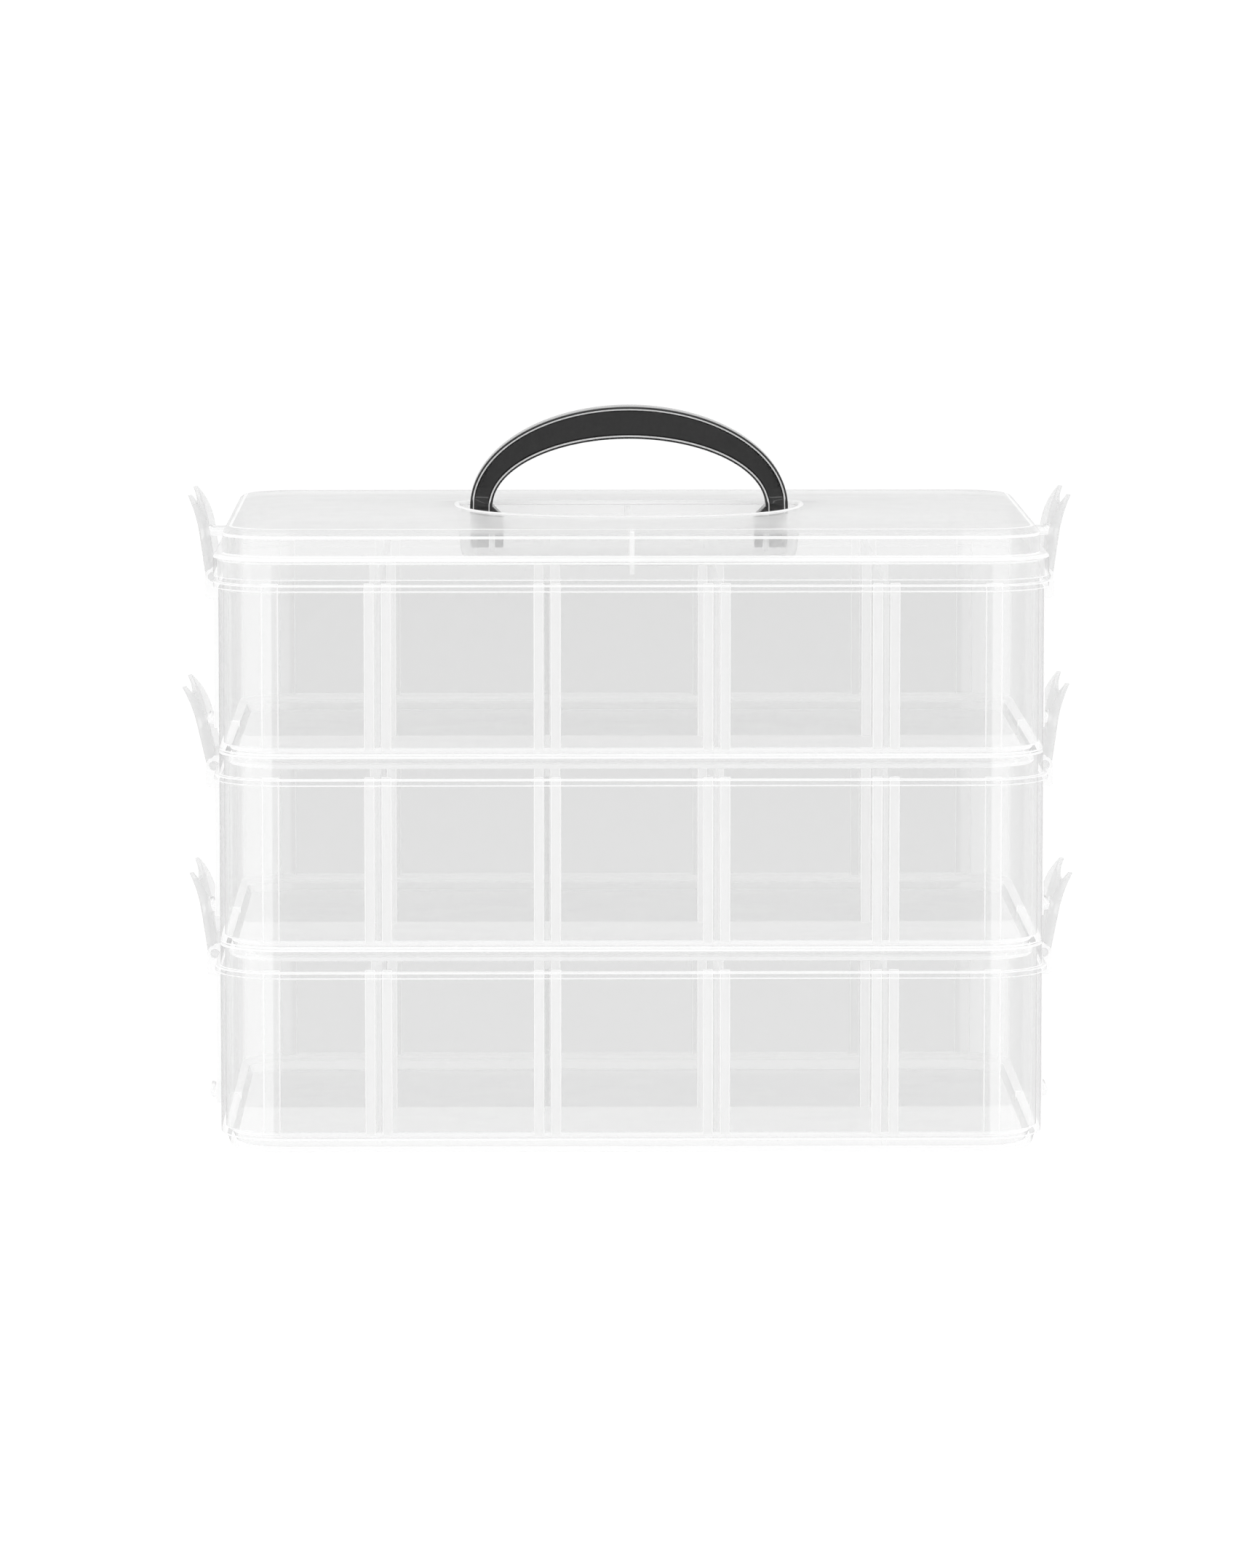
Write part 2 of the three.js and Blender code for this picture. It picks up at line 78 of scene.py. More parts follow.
BASE_EDGE_Z = 1.4
SHOULDER_Z = 6.4  # inside, where the wall widens above the nesting base
BEAD_OUT, BEAD_BOTTOM, BEAD_TOP = 1.5, 52.6, 54.4

PARTITION_TOP = 55.0  # top of the middle wall, the slot ribs and the strips
MIDDLE_HALF = 0.7  # half the middle wall's thickness
SLOT_PITCH = 49.4
SLOTS = [step * SLOT_PITCH for step in (-1.5, -0.5, 0.5, 1.5)]
RIB_WIDTH, RIB_PROUD, GROOVE_HALF = 3.0, 1.4, 1.0
RIB_BELOW = 0.4  # ribs on the outer walls start this far below the shoulder
STRIP_FROM, STRIP_TO, STRIP_PROUD = 102.9, 108.0, 1.0

HINGE_X, HINGE_Z = 124.3, 52.0
LUG_FROM, LUG_TO = 19.9, 21.9
LUG_HOLE, LUG_NOSE, LUG_BACK, LUG_RISE, LUG_DROP = 1.45, 2.4, 3.9, 3.0, 6.6
NOTCH_END = 0.4  # the bead runs out over this length beside each latch
END_RIB = {"x": 124.2, "bottom": 6.6, "below_hinge": 6.0}
CATCH = {"x": 126.8, "half": 10.0, "bottom": 11.5, "top": 13.4, "ledge": 12.9}  # heights from the hinge
CATCH_RIB_HALF = 0.7

LID_INSET, LID_WALL = 1.3, 1.3
SKIRT = {"out": 1.5, "inner": -0.3, "bottom": 169.3}
LEDGE_UNDER, LEDGE_TOP, LEDGE_CHAMFER = 174.7, 175.9, 0.7
LID_TOP = 184.0
ROUND_OVER = 2.8
ROUND_STEPS = 5
LID_RISE = 1.8  # how far the lid's top climbs towards the handle's feet
RIDGE_X, FOOT_X, FALL_Y = 116.0, 47.6, 76.0  # where the climb starts and ends along X, and its depth in Y
CREASE_SLOPE = 0.48
TOP_SPANS = 10  # rings between the lid's edge and the recess's rim
WEB_HALF, WEB_TOP = 0.7, 183.4  # the two stiffening webs under the lid's top
FRONT_WEB = {"from": -79.0, "to": -42.5, "bottom": 170.8}
BACK_WEB = {"from": 10.5, "to": 79.0, "bottom": 176.0}
RECESS = {"x": 50.5, "front": 41.5, "back": 9.0, "corner": 6.0, "power": 2.4}
RECESS_FLOOR = 171.4
RIM_GROW = 2.0  # the lip round the recess starts this far outside it
RIM_STEPS = ((1.5, -0.3), (0.9, -0.3), (0.3, 0.1), (0.0, 0.8))  # the lip, as (outside the recess, down)
EAR = {"from": 40.6, "to": 41.8, "hole": 1.75, "radius": 4.0}

PIVOT_Z = 178.0
ARCH = {"z": 185.0, "outer_x": 47.7, "outer_z": 30.0, "inner_x": 41.0, "inner_z": 20.4, "steps": 72}
ARCH_END_Z = 183.0  # the arch goes straight down to here, inside its feet
SECTION = {"half": 5.9, "rim": 1.0, "slope": 0.3, "recess": 2.2}
RECESS_FROM = 186.0  # above this height the web sinks between its rims, over RECESS_FADE
RECESS_FADE = 2.0
FOOT = {"outer": 47.6, "outer_from": 42.1, "inner_to": 40.3, "inner": 37.7, "radius": 5.8}
SLOPE_LOW, SLOPE_HIGH = 181.8, 184.4  # the inner plate's sloped top
PIN_RADIUS = 1.4

WALL_LOOK, THICK_LOOK, PAINTED_EDGE_HIGHLIGHT, PAINTED_LIGHT_AND_SHADE_LOOK, FLOOR_LOOK = range(5)  # material slots of a clear piece; the edge slot paints a highlight along bends, lips and rounded edges, and the light-and-shade slot is a lighter copy of the wall with painted shade along its silhouettes
SOLID_LOOK = 5  # the handle's own finish, in its first slot
PAINTED_RIM_HIGHLIGHT = 1  # the inner edges of the rims round the handle's web, in a light grey that paints a highlight along them
RIM_CORNERS = (2, 5, 8, 11)  # where those edges stand in the handle's section
CORNER_POINTS = 4  # points that rounded() draws at each corner
SHORT_STEP = 0.8  # a step of a profile shorter than this is a bend or a lip
SOFTEN = math.radians(35)  # edges flatter than this are shaded smooth


# ---- node helpers ----

def new_material(name):
    material = bpy.data.materials.new(name)
    material.use_nodes = True
    nodes = material.node_tree.nodes
    nodes.clear()
    return material, nodes, material.node_tree.links


def add_node(nodes, kind, **values):
    node = nodes.new(kind)
    for key, value in values.items():
        setattr(node, key, value)
    return node


def set_grey(socket, value):
    socket.default_value = (value, value, value, 1)


def add_power(nodes, links, source, exponent):
    power = add_node(nodes, "ShaderNodeMath", operation="POWER")
    power.inputs[1].default_value = exponent
    links.new(source, power.inputs[0])
    return power.outputs[0]


def milky_body(nodes, links, facing, haze, painted_edge_shade, edge_power):
    """The plastic's milkiness: it scatters light both ways, and where seen edge on it takes a darker tone,
    painted shade for the dark lines along its silhouettes.
    """
    tone = add_node(nodes, "ShaderNodeMix", data_type="RGBA")
    set_grey(tone.inputs["A"], haze)
    set_grey(tone.inputs["B"], painted_edge_shade)
    links.new(add_power(nodes, links, facing, edge_power), tone.inputs["Factor"])
    front = add_node(nodes, "ShaderNodeBsdfDiffuse")
    through = add_node(nodes, "ShaderNodeBsdfTranslucent")
    body = add_node(nodes, "ShaderNodeMixShader")
    body.inputs["Fac"].default_value = 0.5
    links.new(tone.outputs["Result"], front.inputs["Color"])
    links.new(tone.outputs["Result"], through.inputs["Color"])
    links.new(front.outputs[0], body.inputs[1])
    links.new(through.outputs[0], body.inputs[2])
    return body.outputs[0]


def milk_amount(nodes, links, facing, milk, grazing):
    """How much of the wall is milky: uneven by a slow swirl, and more at a slant."""
    amount = add_node(nodes, "ShaderNodeMapRange")
    amount.inputs["To Min"].default_value = milk
    amount.inputs["To Max"].default_value = grazing
    links.new(add_power(nodes, links, facing, 3.0), amount.inputs["Value"])
    coords = add_node(nodes, "ShaderNodeTexCoord")
    cloud = add_node(nodes, "ShaderNodeTexNoise")
    cloud.inputs["Scale"].default_value = 28.0
    cloud.inputs["Detail"].default_value = 3.0
    links.new(coords.outputs["Object"], cloud.inputs["Vector"])
    swirl = add_node(nodes, "ShaderNodeMapRange")
    swirl.inputs["To Min"].default_value = 0.75
    swirl.inputs["To Max"].default_value = 1.25
    links.new(cloud.outputs["Fac"], swirl.inputs["Value"])
    uneven = add_node(nodes, "ShaderNodeMath", operation="MULTIPLY", use_clamp=True)
    links.new(amount.outputs[0], uneven.inputs[0])
    links.new(swirl.outputs[0], uneven.inputs[1])
    return uneven.outputs[0]


def outside_shine(nodes, links, gloss):
    """Gloss on the outer side of each surface only."""
    shine = add_node(nodes, "ShaderNodeFresnel")
    shine.inputs["IOR"].default_value = 1.4
    geometry = add_node(nodes, "ShaderNodeNewGeometry")
    outward = add_node(nodes, "ShaderNodeMath", operation="SUBTRACT")
    outward.inputs[0].default_value = 1.0
    links.new(geometry.outputs["Backfacing"], outward.inputs[1])
    share = add_node(nodes, "ShaderNodeMath", operation="MULTIPLY")
    share.inputs[1].default_value = gloss
    links.new(outward.outputs[0], share.inputs[0])
    amount = add_node(nodes, "ShaderNodeMath", operation="MULTIPLY")
    links.new(shine.outputs[0], amount.inputs[0])
    links.new(share.outputs[0], amount.inputs[1])
    return amount.outputs[0]


def mix_shaders(nodes, links, amount, first, second):
    mix = add_node(nodes, "ShaderNodeMixShader")
    links.new(amount, mix.inputs["Fac"])
    links.new(first, mix.inputs[1])
    links.new(second, mix.inputs[2])
    return mix.outputs[0]


def clear_plastic(name, tint, milk, grazing, haze, painted_edge_shade=0.25, gloss=0.7, edge_power=14.0):
    """Moulded clear plastic: a tinted see-through wall with a milky haze that deepens at a slant, and painted
    shade where it is seen edge on.
    """
    material, nodes, links = new_material(name)
    out = add_node(nodes, "ShaderNodeOutputMaterial")
    clear = add_node(nodes, "ShaderNodeBsdfTransparent")
    set_grey(clear.inputs["Color"], tint)
    weight = add_node(nodes, "ShaderNodeLayerWeight")
    weight.inputs["Blend"].default_value = 0.5
    facing = weight.outputs["Facing"]
    body = milky_body(nodes, links, facing, haze, painted_edge_shade, edge_power)
    milkiness = milk_amount(nodes, links, facing, milk, grazing)
    wall = mix_shaders(nodes, links, milkiness, clear.outputs[0], body)
    mirror = add_node(nodes, "ShaderNodeBsdfGlossy")
    set_grey(mirror.inputs["Color"], 0.85)
    mirror.inputs["Roughness"].default_value = 0.15
    finish = mix_shaders(nodes, links, outside_shine(nodes, links, gloss), wall, mirror.outputs[0])
    path = add_node(nodes, "ShaderNodeLightPath")
    lighting = add_node(nodes, "ShaderNodeMath", operation="MAXIMUM")
    links.new(path.outputs["Is Shadow Ray"], lighting.inputs[0])
    links.new(path.outputs["Is Diffuse Ray"], lighting.inputs[1])
    open_way = add_node(nodes, "ShaderNodeBsdfTransparent")
    lit = mix_shaders(nodes, links, lighting.outputs[0], finish, open_way.outputs[0])
    links.new(lit, out.inputs["Surface"])
    return material


def charcoal_plastic(name, dark, light):
    """Satin moulded plastic with a fine grain in its tone and its bump, under a thin gloss."""
    material, nodes, links = new_material(name)
    out = add_node(nodes, "ShaderNodeOutputMaterial")
    coords = add_node(nodes, "ShaderNodeTexCoord")
    shell = add_node(nodes, "ShaderNodeBsdfPrincipled")
    shell.inputs["Roughness"].default_value = 0.4
    shell.inputs["Specular IOR Level"].default_value = 0.05
    shell.inputs["Coat Weight"].default_value = 0.7
    shell.inputs["Coat Roughness"].default_value = 0.08
    grain = add_node(nodes, "ShaderNodeTexNoise")
    grain.inputs["Scale"].default_value = 900.0
    grain.inputs["Detail"].default_value = 4.0
    links.new(coords.outputs["Object"], grain.inputs["Vector"])
    tone = add_node(nodes, "ShaderNodeValToRGB")
    for stop, value in zip(tone.color_ramp.elements, (dark, light)):
        stop.color = (value, value, value, 1)
    links.new(grain.outputs["Fac"], tone.inputs["Fac"])
    links.new(tone.outputs["Color"], shell.inputs["Base Color"])
    bump = add_node(nodes, "ShaderNodeBump")
    bump.inputs["Strength"].default_value = 0.15
    bump.inputs["Distance"].default_value = 0.0002
    links.new(grain.outputs["Fac"], bump.inputs["Height"])
    links.new(bump.outputs["Normal"], shell.inputs["Normal"])
    links.new(shell.outputs[0], out.inputs["Surface"])
    return material


# ---- mesh helpers, all in millimetres ----

def rounded(corners, steps=3):
    """An open line of (a, b, radius) corners as points, with each corner's radius drawn as an arc."""
    points = []
    last = len(corners) - 1
    for i, (a, b, radius) in enumerate(corners):
        here = Vector((a, b))
        if i in (0, last) or radius <= 0:
            points.append((a, b))
            continue
        before = Vector(corners[i - 1][:2]) - here
        after = Vector(corners[i + 1][:2]) - here
        reach = min(radius, before.length * 0.45, after.length * 0.45)
        start = here + before.normalized() * reach
        end = here + after.normalized() * reach
        for step in range(steps + 1):
            t = step / steps
            point = start.lerp(here, t).lerp(here.lerp(end, t), t)
            points.append((point.x, point.y))
    return points


def skin(bm, levels, cap_first=True, cap_last=True, look=lambda level: WALL_LOOK):
    """Joins rings of equal count into one surface and caps its ends. look gives each level's finish."""
    rings = [[bm.verts.new(point) for point in level] for level in levels]
    count = len(rings[0])
    for level in range(len(rings) - 1):
        low, high = rings[level], rings[level + 1]
        for i in range(count):
            j = (i + 1) % count
            face = bm.faces.new((low[i], low[j], high[j], high[i]))
            face.material_index = look(level)
    if cap_first:
        bm.faces.new(list(reversed(rings[0]))).material_index = look(0)
    if cap_last:
        bm.faces.new(rings[-1]).material_index = look(len(rings) - 1)


def round_edges(part, edges, radius, look):
    """Rounds these edges; the new faces get the edge finish, which on a clear piece is a milky near-white
    that paints a highlight along them.
    """
    for face in part.faces:
        face.material_index = look
    painted_edge_look = look if look == SOLID_LOOK else PAINTED_EDGE_HIGHLIGHT
    bmesh.ops.bevel(
        part,
        geom=edges,
        offset=radius,
        segments=2,
        affect="EDGES",
        profile=0.5,
        clamp_overlap=True,
        material=painted_edge_look,
    )


def block(bm, x, y, z, radius=0.25, look=THICK_LOOK):
    """A box with rounded edges between two values on each axis."""
    part = bmesh.new()
    made = bmesh.ops.create_cube(part, size=1)
    size = [abs(b - a) for a, b in (x, y, z)]
    centre = [(a + b) / 2 for a, b in (x, y, z)]
    bmesh.ops.scale(part, vec=size, verts=made["verts"])
    bmesh.ops.translate(part, vec=centre, verts=made["verts"])
    round_edges(part, part.edges[:], radius, look)
    merge_into(bm, part)


def merge_into(bm, part):
    mesh = bpy.data.meshes.new("part")
    part.to_mesh(mesh)
    part.free()
    bm.from_mesh(mesh)
    bpy.data.meshes.remove(mesh)


def placed(axis, a, b, along):
    """A point of an outline's own a, b as X, Y, Z, with the outline carried along an axis."""
    if axis == "x":
        return (along, a, b)
    if axis == "y":
        return (a, along, b)
    return (a, b, along)


def prism(bm, outline, axis, span, radius=0.25, look=THICK_LOOK):
    """An outline carried along an axis, with rounded edges."""
    part = bmesh.new()
    first = [part.verts.new(placed(axis, a, b, span[0])) for a, b in outline]
    second = [part.verts.new(placed(axis, a, b, span[1])) for a, b in outline]
    count = len(outline)
    part.faces.new(first)
    part.faces.new(list(reversed(second)))
    for i in range(count):
        j = (i + 1) % count
        part.faces.new((first[i], second[i], second[j], first[j]))
    bmesh.ops.recalc_face_normals(part, faces=part.faces[:])
    sharp = [edge for edge in part.edges if edge.calc_face_angle(0) > math.radians(25)]
    round_edges(part, sharp, radius, look)
    merge_into(bm, part)


def around(sides):
    return [2 * math.pi * step / sides for step in range(sides)]


def bar(bm, axis, radius, span, centre, sides=24, bevel=0.2, look=THICK_LOOK):
    outline = [
        (centre[0] + radius * math.cos(turn), centre[1] + radius * math.sin(turn)) for turn in around(sides)
    ]
    prism(bm, outline, axis, span, bevel, look)


def eye(bm, axis, span, centre, hole, reach, sides=32):
    """A plate with a round hole at centre. reach gives how far the plate goes out at each angle."""
    part = bmesh.new()

    def loop(radius_at, along):
        points = []
        for turn in around(sides):
            radius = radius_at(turn)
            a = centre[0] + radius * math.cos(turn)
            b = centre[1] + radius * math.sin(turn)
            points.append(part.verts.new(placed(axis, a, b, along)))
        return points

    slope = 0.2
    loops = [
        loop(lambda turn: hole, span[0]),
        loop(lambda turn: reach(turn) - slope, span[0]),
        loop(reach, span[0] + slope),
        loop(reach, span[1] - slope),
        loop(lambda turn: reach(turn) - slope, span[1]),
        loop(lambda turn: hole, span[1]),
    ]
    for low, high in zip(loops, loops[1:] + loops[:1]):
        for i in range(sides):
            j = (i + 1) % sides
            part.faces.new((low[i], low[j], high[j], high[i]))
    bmesh.ops.recalc_face_normals(part, faces=part.faces[:])
    for face in part.faces:
        face.material_index = THICK_LOOK
    merge_into(bm, part)


def make_piece(name, bm, body, nodes, looks):
    """The finished mesh as a piece that rides on a body and stands for its CAD nodes."""
    mesh = bpy.data.meshes.new(name)
    bmesh.ops.scale(bm, vec=(MM, MM, MM), verts=bm.verts[:])
    bm.to_mesh(mesh)
    bm.free()
    for polygon in mesh.polygons:
        polygon.use_smooth = True
        polygon.material_index %= SOLID_LOOK
    mesh.set_sharp_from_angle(angle=SOFTEN)
    for look in looks:
        mesh.materials.append(look)
    return ride_piece(name, mesh, body, nodes)


def ride_piece(name, mesh, body, nodes, place=(0, 0, 0)):
    piece = bpy.data.objects.new(name, mesh)
    piece.location = place
    SCENE.collection.objects.link(piece)
    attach(piece, body)
    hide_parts(*nodes)
    return piece


# ---- tray ----

def wall_ring(inset, z, corner_steps=10, notch=False):
    """A rounded rectangle drawn in from the tray's outer wall. A notch keeps the bead off the latches."""
    radius = TRAY_R - inset
    points = []
    for quarter, (side_x, side_y) in enumerate(((1, 1), (-1, 1), (-1, -1), (1, -1))):
        centre_x = side_x * (TRAY_X - TRAY_R)
        centre_y = side_y * (TRAY_Y - TRAY_R)
        for step in range(corner_steps + 1):
            turn = (quarter + step / corner_steps) * math.pi / 2
            points.append((centre_x + radius * math.cos(turn), centre_y + radius * math.sin(turn), z))
        if quarter in (1, 3):
            direction = 1 if quarter == 3 else -1
            for y in (-LUG_FROM - NOTCH_END, -LUG_FROM, LUG_FROM, LUG_FROM + NOTCH_END):
                flat = notch and abs(y) <= LUG_FROM
                x = TRAY_X if flat else TRAY_X - inset
                points.append((direction * x, direction * y, z))
    return points


def tray_profile():
    """The tray's wall as (inset, height, corner radius), from its foot over the rim to the floor's top."""
    return [
        (FOOT_INNER, FLOOR_BOTTOM, 0),
        (FOOT_INNER, 0, 0.3),
        (FOOT_OUTER, 0, 0.3),
        (FOOT_OUTER, FLOOR_BOTTOM, 0.2),
        (BASE_LOW, FLOOR_BOTTOM, 0.5),
        (BASE_EDGE, BASE_EDGE_Z, 0.5),
        (BASE_HIGH, STEP_Z, 0.3),
        (STEP_LIP, STEP_Z, 0.3),
        (0, STEP_Z + STEP_LIP, 0.3),
        (0, BEAD_BOTTOM, 0.25),
        (-BEAD_OUT, BEAD_BOTTOM, 0.35),
        (-BEAD_OUT, BEAD_TOP, 0.35),
        (0, BEAD_TOP, 0.25),
        (0, TRAY_HEIGHT, 0.5),
        (WALL, TRAY_HEIGHT, 0.5),
        (WALL, SHOULDER_Z, 0.5),
        (BASE_HIGH + WALL, SHOULDER_Z - 0.5, 0.8),
        (BASE_LOW + WALL, FLOOR_TOP, 1.5),
        (FLOOR_INSET, FLOOR_TOP, 0),
    ]


def profile_look(profile, level, wall=WALL_LOOK):
    """The finish of one step of a profile: a bend or a lip catches the light, painted as a highlight in the
    edge finish, a flat step is a floor.
    """
    if level + 1 >= len(profile):
        return wall
    (inset, z), (next_inset, next_z) = profile[level], profile[level + 1]
    across, up = abs(next_inset - inset), abs(next_z - z)
    if math.hypot(across, up) < SHORT_STEP:
        return PAINTED_EDGE_HIGHLIGHT
    return FLOOR_LOOK if up < across else wall


def tray_shell(bm):
    profile = rounded(tray_profile())
    levels = [wall_ring(inset, z, notch=inset < 0) for inset, z in profile]
    skin(bm, levels, look=lambda level: profile_look(profile, level))
    for face in bm.faces:
        middle = face.calc_center_median()
        at_corner = abs(middle.x) > CORNER_FROM_X and abs(middle.y) > CORNER_FROM_Y
        in_foot = middle.z < SHOULDER_Z
        on_floor = len(face.verts) > 4
        if on_floor:
            face.material_index = FLOOR_LOOK
        # the corners and the foot take the lighter copy of the wall: painted light, with painted shade along
        # its silhouettes
        elif (at_corner or in_foot) and face.material_index == WALL_LOOK:
            face.material_index = PAINTED_LIGHT_AND_SHADE_LOOK
    bmesh.ops.recalc_face_normals(bm, faces=bm.faces[:])


def tray_middle_wall(bm):
    wide, narrow = TRAY_X - WALL / 2, TRAY_X - BASE_LOW
    outline = [
        (-narrow, FLOOR_TOP - ROOT),
        (narrow, FLOOR_TOP - ROOT),
        (narrow, SHOULDER_Z),
        (wide, SHOULDER_Z),
        (wide, PARTITION_TOP),
        (-wide, PARTITION_TOP),
        (-wide, SHOULDER_Z),
        (-narrow, SHOULDER_Z),
    ]
    prism(bm, outline, "y", (-MIDDLE_HALF, MIDDLE_HALF), 0.3, WALL_LOOK)


def tray_ribs(bm):
    """Pairs of ribs for the dividers on all three long walls, and a shallow strip near each corner."""
    inner = TRAY_Y - WALL
    low = SHOULDER_Z - RIB_BELOW
    for slot in SLOTS:
        for side in (-1, 1):
            x = sorted((slot + side * GROOVE_HALF, slot + side * (GROOVE_HALF + RIB_WIDTH)))
            for row in (-1, 1):
                outer_y = sorted((row * (inner - RIB_PROUD), row * (inner + ROOT)))
                block(bm, x, outer_y, (low, PARTITION_TOP), 0.3)
                middle_y = sorted((row * 0.5, row * (MIDDLE_HALF + RIB_PROUD)))
                block(bm, x, middle_y, (FLOOR_TOP - ROOT, PARTITION_TOP), 0.3)
    for end in (-1, 1):
        for row in (-1, 1):
            x = sorted((end * STRIP_FROM, end * STRIP_TO))
            y = sorted((row * (inner - STRIP_PROUD), row * (inner + ROOT)))
            block(bm, x, y, (low, PARTITION_TOP), 0.4, PAINTED_LIGHT_AND_SHADE_LOOK)


def lug_reach(end):
    """How far the lug goes out from its hole at each angle, as a plate with a round nose."""
    tiny = 1e-6
    flat_below = -0.4  # the nose is round above this and straight below it

    def reach(turn):
        c, s = end * math.cos(turn), math.sin(turn)
        limits = []
        if c < -tiny:
            limits.append(LUG_BACK / -c)
        if s > tiny:
            limits.append(LUG_RISE / s)
        if s < -tiny:
            limits.append(LUG_DROP / -s)
        if c > tiny:
            limits.append(LUG_NOSE / c if s < flat_below else LUG_NOSE)
        return min(limits)

    return reach


def tray_end_ribs(bm, end):
    """The upright rib on each side of a latch, with the lug that holds the latch's pin at its head."""
    x = sorted((end * (TRAY_X - 0.5), end * END_RIB["x"]))
    z = (END_RIB["bottom"], HINGE_Z - END_RIB["below_hinge"])
    for side in (-1, 1):
        y = sorted((side * LUG_FROM, side * LUG_TO))
        block(bm, x, y, z, 0.3)
        eye(bm, "y", y, (end * HINGE_X, HINGE_Z), LUG_HOLE, lug_reach(end))


def catch(bm, end, root, hinge_z):
    """The upturned ledge that a latch's window goes over, with its heights from that latch's hinge."""
    outline = [
        (end * root, hinge_z + CATCH["bottom"] - 0.5),
        (end * (CATCH["x"] - 0.5), hinge_z + CATCH["bottom"]),
        (end * CATCH["x"], hinge_z + CATCH["top"]),
        (end * (CATCH["x"] - 0.8), hinge_z + CATCH["top"]),
        (end * (CATCH["x"] - 1.7), hinge_z + CATCH["ledge"]),
        (end * root, hinge_z + CATCH["ledge"]),
    ]
    prism(bm, outline, "y", (-CATCH["half"], CATCH["half"]), 0.2)


def make_trays(looks):
    bm = bmesh.new()
    tray_shell(bm)
    tray_middle_wall(bm)
    tray_ribs(bm)
    for end in (-1, 1):
        tray_end_ribs(bm, end)
        catch(bm, end, TRAY_X - WALL / 2, HINGE_Z - PITCH)
    first = make_piece("tray_bottom_moulding", bm, "bottom_tier", ["tray_bottom"], looks)
    for index in (1, 2):
        tier = TIERS[index]
        place = (0, 0, index * PITCH * MM)
        ride_piece(f"tray_{tier}_moulding", first.data, f"{tier}_tier", [f"tray_{tier}"], place)


# ---- lid ----

def lid_outline(inset, z, corner_steps=10, long_steps=24, short_steps=16):
    """The lid's rounded rectangle with extra points along its straight sides, for the top's relief."""
    radius = TRAY_R - inset
    corners = ((1, 1), (-1, 1), (-1, -1), (1, -1))
    points = []
    for quarter, (side_x, side_y) in enumerate(corners):
        centre_x = side_x * (TRAY_X - TRAY_R)
        centre_y = side_y * (TRAY_Y - TRAY_R)
        for step in range(corner_steps + 1):
            turn = (quarter + step / corner_steps) * math.pi / 2
            points.append((centre_x + radius * math.cos(turn), centre_y + radius * math.sin(turn), z))
        next_x, next_y = corners[(quarter + 1) % 4]
        end_turn = (quarter + 1) * math.pi / 2
        end = Vector((next_x * (TRAY_X - TRAY_R), next_y * (TRAY_Y - TRAY_R), 0))
        end += Vector((radius * math.cos(end_turn), radius * math.sin(end_turn), 0))
        start = Vector(points[-1])
        steps = long_steps if quarter in (0, 2) else short_steps
        for step in range(1, steps):
            point = start.lerp(end, step / steps)
            points.append((point.x, point.y, z))
    return points


def lid_height(x, y):
    """The lid's top: four faces that climb to the handle's feet, with creases towards the corners."""
    ridge = min(1.0, (RIDGE_X - abs(x)) / (RIDGE_X - FOOT_X))
    crease = CREASE_SLOPE * max(0.0, abs(x) - FOOT_X)
    fall = max(0.0, abs(y) - crease) / FALL_Y
    return LID_TOP + LID_RISE * max(0.0, ridge - fall)


def in_recess(x, y, grow):
    half, front, back = RECESS["x"] + grow, RECESS["front"] + grow, RECESS["back"] + grow
    if y < 0:
        power = RECESS["power"]
        return (abs(x) / half) ** power + (-y / front) ** power < 1
    corner = RECESS["corner"]
    over_x = max(abs(x) - (half - corner), 0)
    over_y = max(y - (back - corner), 0)
    return math.hypot(over_x, over_y) < corner


def recess_outline(targets, grow):
    """The recess's rim, met by lines from a point inside it to each target point."""
    middle = Vector((0, -14))
    halvings = 24
    points = []
    for x, y, _ in targets:
        low, high = 0.0, 1.0
        away = Vector((x, y)) - middle
        for _ in range(halvings):
            mid = (low + high) / 2
            here = middle + away * mid
            if in_recess(here.x, here.y, grow):
                low = mid
            else:
                high = mid
        here = middle + away * low
        points.append((here.x, here.y))
    return points


def lid_top_levels(inset, drop):
    """Rings from the lid's edge over its top into the recess. drop is 0 outside and the thickness inside."""
    levels = []
    edge = lid_outline(inset, 0)
    rim = recess_outline(edge, RIM_GROW + drop)
    for span in range(TOP_SPANS + 1):
        t = span / TOP_SPANS
        level = []
        for (x, y, _), (rim_x, rim_y) in zip(edge, rim):
            px, py = x + (rim_x - x) * t, y + (rim_y - y) * t
            level.append((px, py, lid_height(px, py) - drop))
        levels.append(level)
    for grow, down in RIM_STEPS:
        outline = recess_outline(edge, grow + drop)
        levels.append([(x, y, lid_height(x, y) - down - drop) for x, y in outline])
    floor = RECESS_FLOOR - drop
    for grow, z in ((-1.3, floor + 1.5), (-1.6, floor + 0.6), (-2.3, floor + 0.12), (-3.2, floor)):
        outline = recess_outline(edge, grow + drop)
        levels.append([(x, y, z) for x, y in outline])
    return levels


